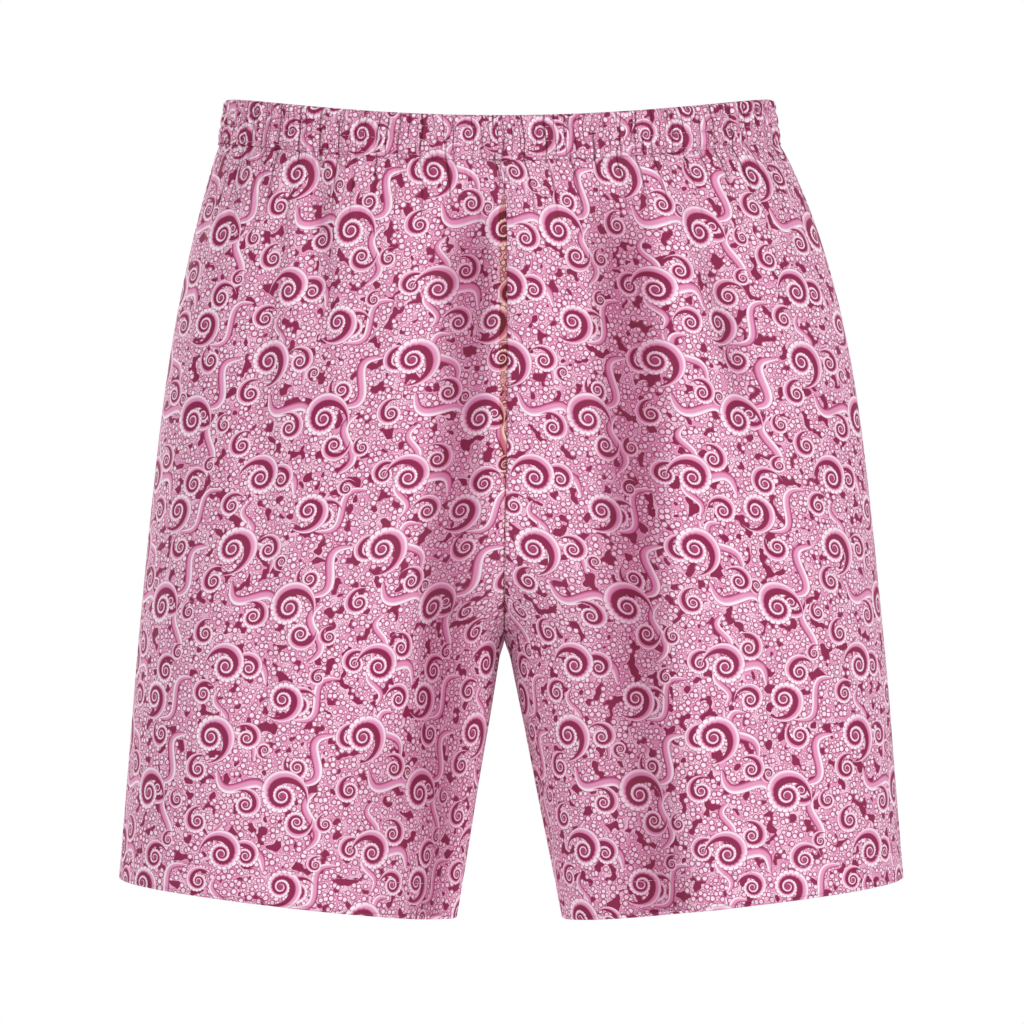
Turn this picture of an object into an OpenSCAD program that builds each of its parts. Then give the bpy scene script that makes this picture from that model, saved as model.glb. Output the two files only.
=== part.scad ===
// Pull-on shorts with a gathered elastic waistband, standing open as they are worn.
//
// Frame: millimetres, +Z up, front of the shorts at -Y, the wearer's left at +X.
// Origin: centre of the waist opening, at mid-height of the waistband.
//
// Every cloth piece is a thin shell cut from one surface. A point on the surface has
//   phi    the angle round one leg's half of the body: 0 at the side seam, positive
//          towards the front, negative towards the back
//   v      the level: -1 top edge, 0 foot of the waistband, 1 crotch, 2 hem
//   depth  how far inside the outer face the point lies
// Each leg has three parts in a row: a hip part that stays with the waistband, a short
// part that bends, and a leg part that swings on a hinge line just below the crotch.

/* [Waist] */
// Width of the relaxed waist, side to side
waist_w = 362; // [300:2:440]
// Half depth of the waist, middle to front
waist_front = 97; // [80:1:130]
// Half depth of the waist, middle to back
waist_back = 99; // [80:1:130]
// Height of the waistband
band_h = 30; // [20:1:50]
// Widening of the waistband from its top to its foot, on each side
band_flare = 4; // [0:1:10]
// Drop of the top edge at the middle of the front
front_dip = 17; // [0:1:30]
// Drop of the top edge at the middle of the back
back_dip = 3; // [0:1:30]

/* [Seat and legs] */
// Width over both legs at the hems
hem_w = 518; // [420:2:600]
// Half depth of the leg at the hem, front
hem_front = 84; // [60:1:110]
// Half depth of the leg at the hem, back
hem_back = 88; // [60:1:110]
// Extra depth over the stomach
front_swell = 14; // [0:1:40]
// Extra depth over the seat
seat_swell = 34; // [0:1:60]
// Share of the side flare that is taken up at the hips
hip_share = 0.45; // [0:0.05:1]
// How quickly the hips fill out below the waistband
hip_round = 5; // [1:0.5:8]
// Level of the crotch below the origin
crotch_drop = 342; // [260:2:400]
// How late the rise seam turns under, towards the crotch
rise_round = 6; // [2:0.5:10]
// Length of the leg below the crotch, at the side seam
leg_outer = 157; // [60:1:300]
// Length of the leg below the crotch, at the inseam
leg_inner = 183; // [60:1:300]
// Widening of the gap between the legs, per millimetre down each inseam
leg_spread = 0.18; // [0:0.01:0.4]

/* [Cloth] */
// Thickness of one cloth wall
cloth_t = 1.2; // [0.6:0.1:2]
// Clearance between neighbouring pieces
gap = 0.3; // [0.1:0.1:0.6]
// Clearance between the cloth and the allowances and stitches that lie along it
lay_gap = 1; // [0.6:0.1:2]
// Width of an overlocked seam allowance
seam_w = 12; // [6:1:20]
// Thickness of an overlocked seam allowance
seam_t = 1; // [0.6:0.1:2]
// Height of the turned hem
hem_h = 24; // [10:1:40]
// Height of the elastic inside the waistband
elastic_h = 25; // [15:1:45]
// Thickness of the elastic
elastic_t = 1.4; // [0.8:0.1:3]
// Thickness of a sewing thread, as a raised line of stitches
thread_t = 0.8; // [0.4:0.1:1.5]

/* [Swing] */
// Height of the part that bends, below the crotch
bend_h = 50; // [30:1:80]

/* [Hidden] */

// Sides of the body, and the front and back, as signs
LEFT = 1;
RIGHT = -1;
FRONT = 1;
BACK = -1;

// Levels
TOP = -1;
FOOT = 0;
CROTCH = 1;
HEM = 2;

// Grid steps
hip_rows = 22;
bend_rows = 4;
leg_rows = 8;
panel_cols = 16;
ring_cols = 15;

// Heights of the rows of stitches on the waistband, as shares down from its top
stitch_shares = [0.3, 0.6, 0.92];

// Levels of the joints between the hip, bending and leg parts
leg_mean = (leg_outer + leg_inner) / 2;
bend_end = CROTCH + bend_h / leg_mean;
level_gap = gap / leg_mean;
inseam_start = CROTCH + 4 / leg_mean;

// Depths of the layers, counted inwards from the outer face
under_cloth = cloth_t + lay_gap;
casing_depth = 2 * cloth_t + 2 * gap + elastic_t;

function mix(a, b, t) = a + (b - a) * t;
function steps(a, b, n) = [for (i = [0:n]) mix(a, b, i / n)];

// Share of the way down the waistband, and from its foot to the hem, at height z
function band_fall(z) = min(1, max(0, (band_h / 2 - z) / band_h));
function fall(z) = max(0, (-band_h / 2 - z) / (crotch_drop + leg_outer - band_h / 2));

// Half width over the outside of the legs at height z
function half_w(z) =
    let (t = fall(z), flare = hip_share * (1 - pow(max(0, 1 - t), hip_round)) + (1 - hip_share) * t)
    mix(waist_w / 2 + band_flare * band_fall(z), hem_w / 2, flare);

// Half depth at height z
function half_d(z, face) =
    let (t = min(1, fall(z)), front = face == FRONT)
    mix(front ? waist_front : waist_back, front ? hem_front : hem_back, t)
    + (front ? front_swell : seat_swell) * sin(180 * t);

// Distance of the rise seam or inseam from the middle of the body at height z
function inner_x(z) = gap / 2 + leg_spread * max(0, -crotch_drop - z);

// The angle of the rise seam or inseam: a quarter turn at the waist, half a turn at the crotch
function last_phi(v) = 90 + 90 * pow(min(1, max(0, v)), rise_round);

function height(phi, v) =
    let (edge = band_h / 2 - (phi > 0 ? front_dip : back_dip) * pow(sin(min(90, abs(phi))), 2))
    v <= FOOT ? edge - (v - TOP) * band_h
    : v <= CROTCH ? mix(edge - band_h, -crotch_drop, v)
    : -crotch_drop - (v - CROTCH) * mix(leg_outer, leg_inner, (1 - cos(phi)) / 2);

// The width and depth above the crotch are those at the side seam, so that the dip of the
// top edge slides the cloth down without changing its outline
function at(side, phi, v, depth) =
    let (
        z = height(phi, v),
        outline_z = height(v <= CROTCH ? 0 : phi, v),
        outer = half_w(outline_z),
        reach = (outer - inner_x(z)) / (1 - cos(last_phi(v))),
        x = outer - reach * (1 - cos(phi)) - depth * cos(phi),
        y = (depth - half_d(outline_z, phi > 0 ? FRONT : BACK)) * sin(phi)
    )
    [side * x, y, z];

// A closed solid between an outer and an inner grid of points, both rows by columns.
// wrap joins the last column to the first, and so makes a ring.
module shell(outer, inner, wrap = false) {
    rows = len(outer);
    cols = len(outer[0]);
    size = rows * cols;
    spans = wrap ? cols : cols - 1;
    function id(layer, r, c) = layer * size + r * cols + c % cols;
    walls = [
        for (r = [0:rows - 2], c = [0:spans - 1]) each [
            [id(0, r, c), id(0, r + 1, c + 1), id(0, r, c + 1)],
            [id(0, r, c), id(0, r + 1, c), id(0, r + 1, c + 1)],
            [id(1, r, c), id(1, r, c + 1), id(1, r + 1, c + 1)],
            [id(1, r, c), id(1, r + 1, c + 1), id(1, r + 1, c)]
        ]
    ];
    rims = [
        for (c = [0:spans - 1]) each [
            [id(0, 0, c), id(1, 0, c + 1), id(1, 0, c)],
            [id(0, 0, c), id(0, 0, c + 1), id(1, 0, c + 1)],
            [id(0, rows - 1, c), id(1, rows - 1, c), id(1, rows - 1, c + 1)],
            [id(0, rows - 1, c), id(1, rows - 1, c + 1), id(0, rows - 1, c + 1)]
        ]
    ];
    ends = wrap ? [] : [
        for (r = [0:rows - 2]) each [
            [id(0, r, 0), id(1, r + 1, 0), id(0, r + 1, 0)],
            [id(0, r, 0), id(1, r, 0), id(1, r + 1, 0)],
            [id(0, r, cols - 1), id(0, r + 1, cols - 1), id(1, r + 1, cols - 1)],
            [id(0, r, cols - 1), id(1, r + 1, cols - 1), id(1, r, cols - 1)]
        ]
    ];
    points = [for (grid = [outer, inner], row = grid, p = row) p];
    polyhedron(points = points, faces = concat(walls, rims, ends));
}

// Right pieces are mirror images of left ones
module on_side(side) {
    if (side == LEFT) children();
    else mirror([1, 0, 0]) children();
}

// Part of one of the four panels, between two levels
module panel(side, face, v0, v1, rows) {
    function edge(v) = gap / 2 * 180 / PI / half_d(height(0, v), face);
    function grid(depth) = [
        for (v = steps(v0, v1, rows)) [
            for (t = steps(edge(v), last_phi(v) - edge(v), panel_cols)) at(LEFT, face * t, v, depth)
        ]
    ];
    on_side(side) {
        if (face == FRONT) shell(grid(0), grid(cloth_t));
        else shell(grid(cloth_t), grid(0));
    }
}

// A seam allowance that lies inside the cloth, centred on the angle middle_phi(v)
module allowance(side, v0, v1, rows, at_inseam = false) {
    function half_angle(v) = seam_w / 2 * 180 / PI / half_d(height(0, v), FRONT);
    function phis(v) = at_inseam
        ? [for (t = steps(-half_angle(v), half_angle(v), 4)) t <= 0 ? 180 + t : -180 + t]
        : steps(half_angle(v), -half_angle(v), 4);
    function grid(depth) = [for (v = steps(v0, v1, rows)) [for (phi = phis(v)) at(LEFT, phi, v, depth)]];
    on_side(side) {
        if (at_inseam) shell(grid(under_cloth), grid(under_cloth + seam_t));
        else shell(grid(under_cloth + seam_t), grid(under_cloth));
    }
}

// The rise seam's allowance, which spans both sides of the body along the middle
module rise_allowance(face) {
    function half_angle(v) = seam_w / 2 * 180 / PI / half_w(height(90, v));
    function row(v, depth) = concat(
        [for (t = [half_angle(v), 0]) at(RIGHT, face * (last_phi(v) - t), v, depth)],
        [for (t = [0, half_angle(v)]) at(LEFT, face * (last_phi(v) - t), v, depth)]
    );
    levels = steps(FOOT + level_gap, CROTCH, hip_rows);
    function grid(depth) = [for (i = [0:hip_rows - 1]) row(levels[i], depth)];
    if (face == FRONT) shell(grid(under_cloth + seam_t), grid(under_cloth));
    else shell(grid(under_cloth), grid(under_cloth + seam_t));
}

// One row of points right round the waist, at level v
function waist_row(v, depth) = [
    for (k = [0:4 * ring_cols - 1])
        let (turn = k * 90 / ring_cols, side = turn < 90 || turn >= 270 ? LEFT : RIGHT)
        at(side, side == LEFT ? (turn < 90 ? turn : turn - 360) : 180 - turn, v, depth)
];

// A band round the waist between two levels and two depths
module waist_band(v0, v1, depth0, depth1) {
    shell(
        [for (v = [v0, v1]) waist_row(v, depth0)],
        [for (v = [v0, v1]) waist_row(v, depth1)],
        wrap = true
    );
}

// The casing is cloth folded over the top of the elastic: two walls joined at the top
module casing() {
    fold = cloth_t / band_h;
    outline = [
        [FOOT - level_gap, 0], [TOP, 0], [TOP, casing_depth], [FOOT - level_gap, casing_depth],
        [FOOT - level_gap, casing_depth - cloth_t], [TOP + fold, casing_depth - cloth_t],
        [TOP + fold, cloth_t], [FOOT - level_gap, cloth_t]
    ];
    n = len(outline);
    m = 4 * ring_cols;
    points = [for (p = outline) each waist_row(p[0], p[1])];
    faces = [
        for (i = [0:n - 1], k = [0:m - 1])
            let (this = i * m, next = (i + 1) % n * m, k1 = (k + 1) % m)
            each [[this + k, this + k1, next + k1], [this + k, next + k1, next + k]]
    ];
    polyhedron(points = points, faces = faces);
}

// A raised row of stitches round the outside of the waistband at a share of its height
module waist_stitches(share) {
    half = thread_t / 2 / band_h;
    waist_band(TOP + share - half, TOP + share + half, -thread_t - gap, -gap);
}

// One row of points right round a leg at level v
function leg_row(v, depth) = [
    for (k = [0:2 * panel_cols - 1])
        let (turn = k * 180 / panel_cols)
        at(LEFT, turn <= 180 ? turn : turn - 360, v, depth)
];

// A band round one leg between two levels and two depths
module leg_band(side, v0, v1, depth0, depth1) {
    on_side(side) shell(
        [for (v = [v0, v1]) leg_row(v, depth0)],
        [for (v = [v0, v1]) leg_row(v, depth1)],
        wrap = true
    );
}

module hem_turning(side) {
    depth = under_cloth + seam_t + gap;
    color("orchid") leg_band(side, HEM - hem_h / leg_mean, HEM, depth, depth + cloth_t);
}

module hem_stitching(side) {
    v = HEM - (hem_h - 2) / leg_mean;
    half = thread_t / 2 / leg_mean;
    color("mediumvioletred") leg_band(side, v - half, v + half, -thread_t - lay_gap, -lay_gap);
}

module waistband_casing() { color("palevioletred") casing(); }

module waist_elastic() {
    v0 = TOP + (cloth_t + gap) / band_h;
    depth = cloth_t + gap;
    color("white") waist_band(v0, v0 + elastic_h / band_h, depth, depth + elastic_t);
}

module waist_stitching(share) { color("mediumvioletred") waist_stitches(share); }

module hip_panel(side, face) {
    color("palevioletred") panel(side, face, FOOT + level_gap, CROTCH, hip_rows);
}

module bend_panel(side, face) {
    color("palevioletred") panel(side, face, CROTCH + level_gap, bend_end, bend_rows);
}

module leg_panel(side, face) {
    color("palevioletred") panel(side, face, bend_end + level_gap, HEM, leg_rows);
}

module rise_seam(face) { color("thistle") rise_allowance(face); }

module side_seam_hip(side) { color("thistle") allowance(side, FOOT + level_gap, CROTCH, hip_rows); }

module side_seam_bend(side) { color("thistle") allowance(side, CROTCH + level_gap, bend_end, bend_rows); }

module side_seam_leg(side) { color("thistle") allowance(side, bend_end + level_gap, HEM, leg_rows); }

module inseam_bend(side) {
    color("thistle") allowance(side, inseam_start, bend_end, bend_rows, at_inseam = true);
}

module inseam_leg(side) {
    color("thistle") allowance(side, bend_end + level_gap, HEM, leg_rows, at_inseam = true);
}

waistband_casing();
waist_elastic();
waist_stitching(stitch_shares[0]);  // waist_stitching_upper
waist_stitching(stitch_shares[1]);  // waist_stitching_middle
waist_stitching(stitch_shares[2]);  // waist_stitching_lower
hip_panel(LEFT, FRONT);  // front_left_panel_hip
bend_panel(LEFT, FRONT);  // front_left_panel_bend
leg_panel(LEFT, FRONT);  // front_left_panel_leg
hip_panel(RIGHT, FRONT);  // front_right_panel_hip
bend_panel(RIGHT, FRONT);  // front_right_panel_bend
leg_panel(RIGHT, FRONT);  // front_right_panel_leg
hip_panel(LEFT, BACK);  // back_left_panel_hip
bend_panel(LEFT, BACK);  // back_left_panel_bend
leg_panel(LEFT, BACK);  // back_left_panel_leg
hip_panel(RIGHT, BACK);  // back_right_panel_hip
bend_panel(RIGHT, BACK);  // back_right_panel_bend
leg_panel(RIGHT, BACK);  // back_right_panel_leg
rise_seam(FRONT);  // front_rise_seam
rise_seam(BACK);  // back_rise_seam
side_seam_hip(LEFT);  // left_side_seam_hip
side_seam_bend(LEFT);  // left_side_seam_bend
side_seam_leg(LEFT);  // left_side_seam_leg
side_seam_hip(RIGHT);  // right_side_seam_hip
side_seam_bend(RIGHT);  // right_side_seam_bend
side_seam_leg(RIGHT);  // right_side_seam_leg
inseam_bend(LEFT);  // left_inseam_bend
inseam_leg(LEFT);  // left_inseam_leg
inseam_bend(RIGHT);  // right_inseam_bend
inseam_leg(RIGHT);  // right_inseam_leg
hem_turning(LEFT);  // left_hem_turning
hem_stitching(LEFT);  // left_hem_stitching
hem_turning(RIGHT);  // right_hem_turning
hem_stitching(RIGHT);  // right_hem_stitching
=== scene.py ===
"""Pull-on shorts with a gathered elastic waistband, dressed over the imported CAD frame.

Every cloth piece is cut from one surface, the one that part.scad builds its shells from. On the front
and the back of each half of the body, phi is the angle from the side seam towards the middle and v is
the level: -1 top edge, 0 foot of the waistband, 1 crotch, 2 hem. cloth() adds gathers, folds and seams.
A face is FRONT or BACK. Lengths are in millimetres until a mesh is made.
"""
import math

import bpy
import numpy as np
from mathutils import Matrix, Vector


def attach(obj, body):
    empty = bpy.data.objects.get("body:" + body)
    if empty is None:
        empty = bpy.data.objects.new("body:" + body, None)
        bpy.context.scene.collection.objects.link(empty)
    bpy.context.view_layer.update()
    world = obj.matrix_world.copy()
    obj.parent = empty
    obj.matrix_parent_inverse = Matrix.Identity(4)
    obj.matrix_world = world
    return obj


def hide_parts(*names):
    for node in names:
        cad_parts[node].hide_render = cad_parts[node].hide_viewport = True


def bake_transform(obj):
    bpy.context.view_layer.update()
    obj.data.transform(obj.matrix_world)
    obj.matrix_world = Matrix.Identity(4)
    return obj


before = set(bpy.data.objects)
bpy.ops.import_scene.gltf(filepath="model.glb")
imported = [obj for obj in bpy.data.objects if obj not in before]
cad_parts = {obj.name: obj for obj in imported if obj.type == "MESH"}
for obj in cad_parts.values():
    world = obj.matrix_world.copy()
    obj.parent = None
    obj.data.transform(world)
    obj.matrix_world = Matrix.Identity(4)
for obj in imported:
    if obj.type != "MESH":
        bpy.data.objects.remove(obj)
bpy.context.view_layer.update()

MM = 0.001
LEFT, RIGHT = 1, -1
FRONT, BACK = 1, -1
TOP, FOOT, CROTCH, HEM = -1.0, 0.0, 1.0, 2.0

# The body, as in part.scad
WAIST_HALF, BAND_FLARE, HEM_HALF = 181.0, 4.0, 259.0
WAIST_DEPTH = {FRONT: 97.0, BACK: 99.0}
HEM_DEPTH = {FRONT: 84.0, BACK: 88.0}
SWELL = {FRONT: 14.0, BACK: 34.0}
DIP = {FRONT: 17.0, BACK: 3.0}
BAND_H, CROTCH_DROP, LEG_OUTER, LEG_INNER = 30.0, 342.0, 157.0, 183.0
HIP_SHARE, HIP_ROUND, RISE_ROUND, LEG_SPREAD = 0.45, 5.0, 6.0, 0.18
STITCH_ROWS = (0.3, 0.6, 0.92)  # shares of the way down the waistband
LEG_MEAN = (LEG_OUTER + LEG_INNER) / 2
QUARTER_WAIST = 225.0  # roughly the length round a quarter of the waist

# How the worn cloth differs from that body
GAP = 0.05  # between the left and right cloth at the middle
LAP = 1.3  # how far the left front panel laps past the middle
UNDER_LAP = 0.2  # how far short of the middle the right one stops there
LEG_GAP = 1.5  # how much further from the middle each leg's inner side hangs
LEAN = 7.8  # how far the sides and hems hang to the wearer's left of the waist
RISE_LEAN = 6.6  # how far the seams in the middle do at the hips
LEAN_RATE = 5.0  # how soon below the waistband they do

# The cloth
CLOTH = 0.9  # thickness
ALLOWANCE = 0.9  # thickness of a seam allowance
HEM_H = 24.0
THREAD_PITCH = 0.42

# Gathers: period and seed
FINE_PLEATS = (4.9, 3.3)
BROAD_PLEATS = (11.7, 4.1)
LOOSE_PLEATS = (23.0, 2.6)
INSIDE_PLEATS = (4.4, 0.7)  # on the casing's inner wall
FACE_SHIFT = 500.0  # sets the pleats of the front and the back apart
PLEAT_WARPS = ((0.9, 2.7, 1.0), (0.7, 1.3, 2.1))  # size, wavelength in periods, share of the seed

# Long soft folds down the front: x at the top and at the hem, half width, height, top and bottom z
FRONT_FOLDS = (
    (-29, -38, 27, -12.0, -62, -600),
    (-10, -12, 8, 1.6, -60, -240),
    (-64, -74, 19, 4.0, -60, -360),
    (-72, -78, 36, -5.0, -400, -620),
    (-122, -126, 9, -5.5, -28, -120),
    (-98, -112, 11, 2.6, -30, -200),
    (-150, -166, 12, -3.0, -60, -420),
    (18, 20, 8, 1.8, -60, -240),
    (35, 37, 7, -4.0, -55, -215),
    (50, 54, 9, 2.0, -60, -300),
    (73, 95, 31, -12.0, -52, -600),
    (104, 122, 17, 4.5, -60, -540),
    (124, 144, 9, -6.0, -45, -170),
    (150, 170, 11, -3.0, -90, -420),
)
BACK_FOLDS = (
    (-30, -42, 17, -8.0, -80, -540),
    (-86, -104, 20, 4.0, -60, -520),
    (-118, -128, 9, -5.0, -30, -150),
    (-150, -166, 12, -3.0, -60, -400),
    (20, 24, 9, 2.0, -60, -300),
    (44, 58, 16, -6.0, -60, -460),
    (84, 102, 18, 4.0, -70, -540),
    (112, 132, 12, -7.0, -50, -300),
    (152, 170, 12, -3.0, -60, -400),
)


def mix(a, b, t):
    return a + (b - a) * t


def ease(t):
    """Smooth step from 0 to 1."""
    t = np.clip(t, 0.0, 1.0)
    return t * t * (3.0 - 2.0 * t)


def fall(z):
    """Share of the way down from the foot of the waistband to the hem."""
    return np.clip((-BAND_H / 2 - z) / (CROTCH_DROP + LEG_OUTER - BAND_H / 2), 0.0, None)


def half_width(z):
    t = fall(z)
    flare = HIP_SHARE * (1 - np.clip(1 - t, 0, None) ** HIP_ROUND) + (1 - HIP_SHARE) * t
    band = WAIST_HALF + BAND_FLARE * np.clip((BAND_H / 2 - z) / BAND_H, 0.0, 1.0)
    return mix(band, HEM_HALF, flare)


def half_depth(z, face):
    t = np.clip(fall(z), 0.0, 1.0)
    return mix(WAIST_DEPTH[face], HEM_DEPTH[face], t) + SWELL[face] * np.sin(np.pi * t)


def last_phi(v):
    """Angle of the rise seam or inseam: a quarter turn at the waist, half a turn at the crotch."""
    return np.pi / 2 * (1.0 + np.clip(v, 0.0, 1.0) ** RISE_ROUND)


def height(phi, v, face):
    """Height of a point, from its level."""
    edge = BAND_H / 2 - DIP[face] * np.sin(np.minimum(phi, np.pi / 2)) ** 2
    band = edge - (v - TOP) * BAND_H
    hip = mix(edge - BAND_H, -CROTCH_DROP, np.clip(v, 0, 1))
    leg = -CROTCH_DROP - (v - CROTCH) * mix(LEG_OUTER, LEG_INNER, (1 - np.cos(phi)) / 2)
    return np.where(v <= FOOT, band, np.where(v <= CROTCH, hip, leg))


def outline_height(phi, v, face):
    """The height whose width and depth a point has: above the crotch, that of the side seam."""
    return height(np.where(v <= CROTCH, 0.0, phi), v, face)


def depth_at(phi, v, face):
    return half_depth(outline_height(phi, v, face), face)


def surface(side, face, phi, v, out=0.0):
    """Smooth surface points; out moves them along the outward direction."""
    z = height(phi, v, face)
    outline = outline_height(phi, v, face)
    below_crotch = np.clip(-CROTCH_DROP - z, 0.0, None)
    inner = GAP / 2 + LEG_SPREAD * below_crotch + LEG_GAP * ease(below_crotch / 12.0)
    outer = half_width(outline)
    reach = (outer - inner) / (1 - np.cos(last_phi(v)))
    x = outer - reach * (1 - np.cos(phi)) + out * np.cos(phi)
    y = -face * (half_depth(outline, face) + out) * np.sin(phi)
    return np.stack([side * x, y, z], axis=-1)


def pleats(s, period, seed, sharp=0.6):
    """Irregular rounded pleats with sharp valleys, from 0 in a valley to 1 on a ridge."""
    warp = sum(size * np.sin(s / (period * wave) + share * seed) for size, wave, share in PLEAT_WARPS)
    return np.abs(np.sin(np.pi * s / period + warp)) ** sharp


def fold_sum(folds, x, z):
    """Height of all the long folds together at each x and z."""
    total = np.zeros_like(x)
    for top_x, foot_x, half, rise, z0, z1 in folds:
        along = np.clip((z0 - z) / (z0 - z1), 0.0, 1.0)
        centre = mix(top_x, foot_x, along) + 5.0 * np.sin(z / 70.0 + top_x)
        lasts = ease((z0 + 40 - z) / 90) * ease((z - z1 + 60) / 90) * mix(1.0, 0.75, along)
        total = total + rise * lasts * np.exp(-(((x - centre) / half) ** 2))
    return total


def from_seams(face, phi, v):
    """Distances along the cloth to the side seam and to the rise seam or inseam."""
    outline = outline_height(phi, v, face)
    depth = half_depth(outline, face)
    late = np.clip((v - 0.8) / 0.2, 0.0, 1.0)
    return phi * depth, (last_phi(v) - phi) * mix(half_width(outline), depth, late)


def round_waist(side, face, phi):
    """Place round the waist in mm, along which the gathers are laid out."""
    return phi * 2 / np.pi * QUARTER_WAIST * side + face * FACE_SHIFT


def gathers(s, below):
    """Lift of the gathers below the elastic: fine ones die out first."""
    return (
        1.1 * (pleats(s, *FINE_PLEATS, 0.5) - 0.55) * np.exp(-below / 15.0)
        + 1.3 * (pleats(s, *BROAD_PLEATS) - 0.6) * np.exp(-below / 42.0)
        + 2.2 * (pleats(s, *LOOSE_PLEATS, 0.9) - 0.6) * np.exp(-below / 95.0) * ease(below / 25.0)
    )


def drape(side, face, phi, v, p):
    """How far gathers and folds lift the cloth off the smooth surface. They fade out beside the
    seams, which hold the cloth flat, and at the foot of the waistband the cloth tucks under it."""
    x, z = p[..., 0], p[..., 2]
    from_side, from_rise = from_seams(face, phi, v)
    below = np.clip(v, 0.0, None) * (CROTCH_DROP - BAND_H)
    s = round_waist(side, face, phi)
    slow = 1.3 * np.sin(s / 37.0 + z / 55.0) * np.sin(z / 83.0 + 0.7 * face)
    free = ease(from_side / 16.0) * ease(from_rise / 9.0)
    local = gathers(s, below) * mix(1.0, free, ease(below / 12.0)) + slow * free
    folds = fold_sum(FRONT_FOLDS if face == FRONT else BACK_FOLDS, x, z)
    sewn = ease((v - 0.5) / 0.2) * (1.0 - ease(from_rise / 26.0))
    folds = folds * ease((np.pi - phi) / 0.5) * ease(from_side / 30.0) * (1.0 - sewn)
    return local + folds * ease(below / 6.0) - 1.15 * (1 - ease(below / 9.0))


def hollow_of(side, face, phi, v):
    """How deep in a fold each point of a panel lies, from 0 to 1: how much painted shade its colour
    gets.
    """
    return ease(-(drape(side, face, phi, v, surface(side, face, phi, v)) + 1.0) / 11.0)


def beside_lap(side, face, phi, v):
    """How near a point lies to the lap of the front rise seam, on the cloth under it: 2 at the seam
    and 1 at the edge of the strip where the lap's shadow is painted."""
    if (side, face) != (RIGHT, FRONT):
        return np.zeros_like(phi)
    _, from_rise = from_seams(face, phi, v)
    wide = mix(LAP + 5.2, 2.2, ease((v - 0.58) / 0.14)) * ease((v - 0.04) / 0.08)
    return np.clip(2.0 - from_rise / np.maximum(wide, 0.1), 0.0, 2.0)


def lapped(v):
    """How fully the left front panel laps over the right one at the rise seam."""
    return ease((0.94 - v) / 0.1) * ease(v / 0.03)


def seam_pull(side, face, phi, v, p):
    """The dip along a seam, with a little pucker, and the lap of the front rise seam. The dip stops
    at the crotch, where it would draw the left and right cloth apart."""
    z = p[..., 2]
    from_side, from_rise = from_seams(face, phi, v)
    pucker = 0.3 * np.sin(z / 2.9 + 1.3 * np.sin(z / 11.0))
    closed = ease((v - 0.78) / 0.14) * ease((1.08 - v) / 0.07)
    grip = np.exp(-((from_side / 2.2) ** 2)) + np.exp(-((from_rise / 2.2) ** 2)) * (1.0 - closed)
    pull = -(0.6 + pucker) * grip
    if face == FRONT:
        lap = np.exp(-((from_rise / 5.0) ** 2)) * lapped(v)
        pull = pull + (0.65 * lap if side == LEFT else -0.4 * lap)
    hem_row = (HEM - v) * LEG_MEAN - (HEM_H - 2.0)
    return pull - 0.35 * np.exp(-((hem_row / 1.6) ** 2))


def lean(x, v):
    """How far the cloth hangs to the wearer's left. The seams in the middle lean less towards the
    crotch, and more again down the legs."""
    below = np.clip(v, 0.0, None)
    sides = LEAN * (1.0 - np.exp(-LEAN_RATE * below))
    rise = RISE_LEAN * (1.0 - np.exp(-4.0 * LEAN_RATE * below)) * mix(1.0, 0.5, ease((v - 0.5) / 0.5))
    middle = mix(rise, 0.8 * LEAN, np.clip(v - CROTCH, 0.0, 1.0))
    return mix(middle, sides, ease(np.abs(x) / 110.0))


def cloth(side, face, phi, v, depth=0.0):
    """A point on the worn cloth, depth mm inside its outer face."""
    phi, v = np.broadcast_arrays(np.asarray(phi, float), np.asarray(v, float))
    p = surface(side, face, phi, v)
    out = drape(side, face, phi, v, p) + seam_pull(side, face, phi, v, p) - depth
    p = surface(side, face, phi, v, out)
    p[..., 0] += lean(p[..., 0], v)
    return p


def arc_from_side(face, phi, v):
    """Length along the smooth surface from the side seam, for points in rows of equal v."""
    p = surface(LEFT, face, phi, v)
    steps = np.linalg.norm(np.diff(p, axis=1), axis=2)
    first = phi[:, :1] * depth_at(phi[:, :1], v[:, :1], face)
    return np.concatenate([first, first + np.cumsum(steps, axis=1)], axis=1)


# ---------------------------------------------------------------- meshes


def grid_faces(rows, cols, wrap):
    """Corner numbers of each cell of a grid, as row and unwrapped column."""
    spans = cols if wrap else cols - 1
    r, c = np.meshgrid(np.arange(rows - 1), np.arange(spans), indexing="ij")
    r, c = r.ravel(), c.ravel()
    return np.stack([r, r, r + 1, r + 1], axis=1), np.stack([c, c + 1, c + 1, c], axis=1)


def add_object(name, data):
    """Puts a mesh, lamp or camera in the scene."""
    made = bpy.data.objects.new(name, data)
    bpy.context.scene.collection.objects.link(made)
    return made


def mesh_object(name, points, faces, uvs, material_index, materials):
    """Builds a smooth mesh object from arrays: points in mm, quads, and a UV for each corner."""
    mesh = bpy.data.meshes.new(name)
    mesh.vertices.add(len(points))
    mesh.vertices.foreach_set("co", (np.asarray(points) * MM).astype(np.float32).ravel())
    mesh.loops.add(faces.size)
    mesh.loops.foreach_set("vertex_index", faces.astype(np.int32).ravel())
    mesh.polygons.add(len(faces))
    mesh.polygons.foreach_set("loop_start", np.arange(len(faces), dtype=np.int32) * 4)
    mesh.polygons.foreach_set("material_index", material_index.astype(np.int32))
    mesh.polygons.foreach_set("use_smooth", np.ones(len(faces), dtype=bool))
    layer = mesh.uv_layers.new(name="cloth")
    layer.data.foreach_set("uv", (uvs * MM).astype(np.float32).ravel())
    mesh.update(calc_edges=True)
    mesh.validate()
    for material in materials:
        mesh.materials.append(material)
    return add_object(name, mesh)


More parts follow.
